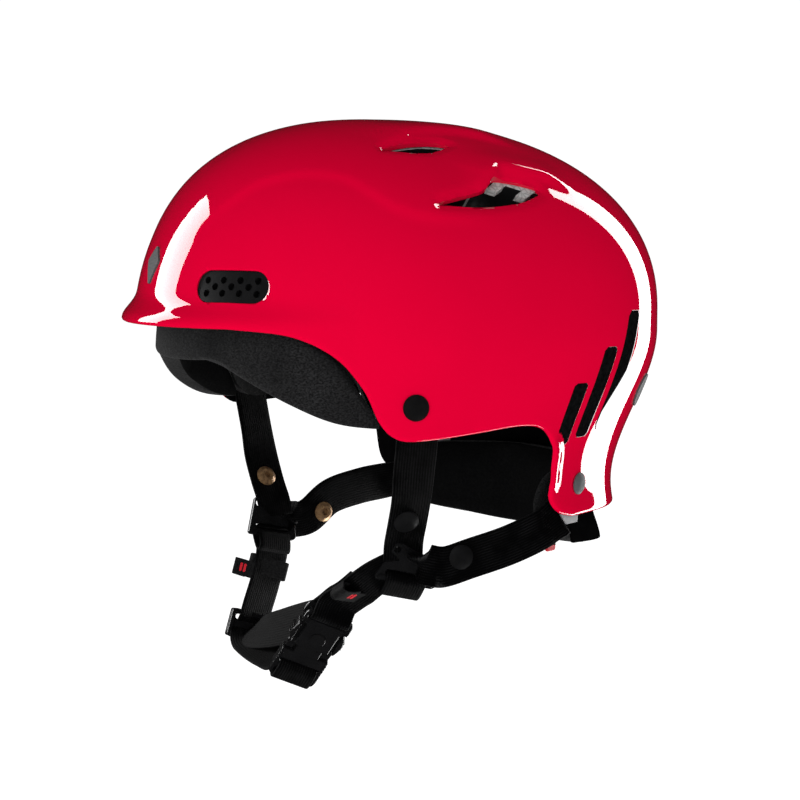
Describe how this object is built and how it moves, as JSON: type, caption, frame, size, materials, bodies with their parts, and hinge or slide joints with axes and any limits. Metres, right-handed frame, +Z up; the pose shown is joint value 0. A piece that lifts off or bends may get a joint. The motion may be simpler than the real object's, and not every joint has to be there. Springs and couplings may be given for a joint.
{
  "type": "water helmet",
  "caption": "Hard-shell water sports helmet with short brim, ear cut-outs, foam liner, pads, grilles, webbing harness, chin buckle and sliding nape cradle.",
  "frame": {"origin": "middle of the head opening, level with the brim's lower edge", "axes": "+X towards the wearer's left, -Y towards the face, +Z up to the crown"},
  "size_m": [0.2222, 0.2729, 0.2817],
  "materials": {
    "red_shell": "high gloss injection-moulded shell",
    "grey_foam": "expanded foam beads, matt",
    "pad_fabric": "brushed laminated foam padding",
    "black_plastic": "satin moulded nylon",
    "grey_plastic": "satin moulded nylon",
    "red_plastic": "satin moulded acetal",
    "webbing": "woven polyester webbing",
    "keeper_elastic": "woven elastic with a small red sewn tag",
    "brass": "plated press-stud brass",
    "badge_metal": "brushed metal badge under clear resin",
    "black_film": "printed film under clear coat"
  },
  "bodies": {
    "root": {"shell": "red_shell", "foam_liner": "grey_foam", "brow_band": "pad_fabric", "brow_pad": "pad_fabric", "rear_pad": "pad_fabric", "crown_pad": "pad_fabric", "left_side_pad": "pad_fabric", "right_side_pad": "pad_fabric", "left_vent_grille": "black_plastic", "right_vent_grille": "black_plastic", "front_badge": "badge_metal", "left_rear_badge": "badge_metal", "right_rear_badge": "badge_metal", "left_side_stripes": "black_film", "right_side_stripes": "black_film", "left_ear_rivet": "black_plastic", "right_ear_rivet": "black_plastic", "left_tail_rivet": "grey_plastic", "right_tail_rivet": "grey_plastic", "left_tail_anchor": "grey_plastic", "right_tail_anchor": "grey_plastic", "left_front_strap": "webbing", "right_front_strap": "webbing", "left_rear_strap": "webbing", "right_rear_strap": "webbing", "left_snap_caps": "black_plastic", "right_snap_caps": "black_plastic", "left_snap_sockets": "brass", "right_snap_sockets": "brass", "left_strap_divider": "black_plastic", "right_strap_divider": "black_plastic", "buckle_female": "black_plastic", "left_chin_strap": "webbing", "right_chin_strap": "webbing"},
    "chin_catch": {"buckle_male": "black_plastic", "chin_webbing": "webbing", "chin_slider": "black_plastic"},
    "left_prong": {"left_buckle_prong": "black_plastic"},
    "right_prong": {"right_buckle_prong": "black_plastic"},
    "cradle": {"nape_cradle": "black_plastic", "nape_pad": "pad_fabric"},
    "left_tab": {"left_release_tab": "red_plastic"},
    "right_tab": {"right_release_tab": "red_plastic"},
    "left_keeper": {"left_strap_keeper": "keeper_elastic"},
    "right_keeper": {"right_strap_keeper": "keeper_elastic"}
  },
  "joints": [
    {"name": "buckle_release", "type": "slide", "parent": "root", "child": "chin_catch", "axis": [-0.6192, -0.1999, -0.7594], "range_m": [0, 0.024]},
    {"name": "left_prong_squeeze", "type": "hinge", "parent": "chin_catch", "child": "left_prong", "pos_m": [0.02455, -0.05658, -0.16116], "axis": [-0.7623, 0.3851, 0.5202], "range_deg": [0, 6], "stiffness_Nm_per_rad": 0.6},
    {"name": "right_prong_squeeze", "type": "hinge", "parent": "chin_catch", "child": "right_prong", "pos_m": [0.02813, -0.03946, -0.16859], "axis": [0.7623, -0.3851, -0.5202], "range_deg": [0, 6], "stiffness_Nm_per_rad": 0.6},
    {"name": "cradle_height", "type": "slide", "parent": "root", "child": "cradle", "axis": [0, 0, 1], "range_m": [0, 0.012]},
    {"name": "left_tab_press", "type": "slide", "parent": "cradle", "child": "left_tab", "axis": [0, 0, 1], "range_m": [0, 0.0025], "stiffness_N_per_m": 300},
    {"name": "right_tab_press", "type": "slide", "parent": "cradle", "child": "right_tab", "axis": [0, 0, 1], "range_m": [0, 0.0025], "stiffness_N_per_m": 300},
    {"name": "left_keeper_slide", "type": "slide", "parent": "root", "child": "left_keeper", "axis": [-0.8043, -0.3138, -0.5045], "range_m": [-0.004, 0.004]},
    {"name": "right_keeper_slide", "type": "slide", "parent": "root", "child": "right_keeper", "axis": [0.1717, -0.4896, -0.8549], "range_m": [-0.004, 0.004]}
  ]
}
